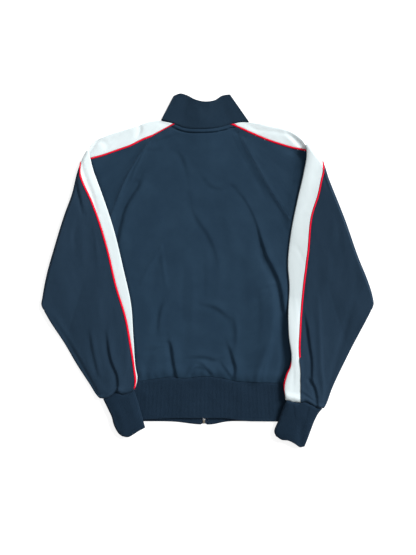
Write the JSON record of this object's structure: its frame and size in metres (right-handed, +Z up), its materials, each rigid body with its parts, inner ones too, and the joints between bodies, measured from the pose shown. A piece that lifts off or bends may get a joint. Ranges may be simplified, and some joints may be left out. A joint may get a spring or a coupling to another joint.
{
  "type": "track jacket",
  "caption": "Zip track jacket with stand collar, striped raglan sleeves and rib bands, laid flat face down with both sleeves turned over onto its back.",
  "frame": {"origin": "centre of the bounding box, on the surface the jacket lies on", "axes": "+Y from the hem to the collar, +Z up from the surface through the fronts to the back, +X towards the wearer's right"},
  "size_m": [0.7322, 0.7759, 0.0151],
  "materials": {
    "navy_knit": "soft warp knit with a low sheen",
    "navy_rib": "matt rib knit",
    "white_knit": "soft warp knit",
    "red_piping": "woven cord cover",
    "zip_tape": "woven tape",
    "zip_coil": "moulded coil",
    "zip_metal": "plain zip metal"
  },
  "bodies": {
    "garment": {"back_panel": "navy_knit", "collar": "navy_rib", "cuff_left": "navy_rib", "cuff_right": "navy_rib", "front_left": "navy_knit", "front_right": "navy_knit", "hem_rib": "navy_rib", "piping_back_left": "red_piping", "piping_back_right": "red_piping", "piping_front_left": "red_piping", "piping_front_right": "red_piping", "sleeve_back_left": "navy_knit", "sleeve_back_right": "navy_knit", "sleeve_front_left": "navy_knit", "sleeve_front_right": "navy_knit", "slider": "zip_metal", "stripe_left": "white_knit", "stripe_right": "white_knit", "zip_box": "zip_metal", "zip_coil": "zip_coil", "zip_tape_left": "zip_tape", "zip_tape_right": "zip_tape"},
    "pull_tab": {"pull_tab": "zip_metal"}
  },
  "joints": [
    {"name": "pull_tab_hinge", "type": "hinge", "parent": "garment", "child": "pull_tab", "pos_m": [-0.0077, 0.2904, 0.002], "axis": [1, 0, 0], "range_deg": [0, 170]}
  ]
}
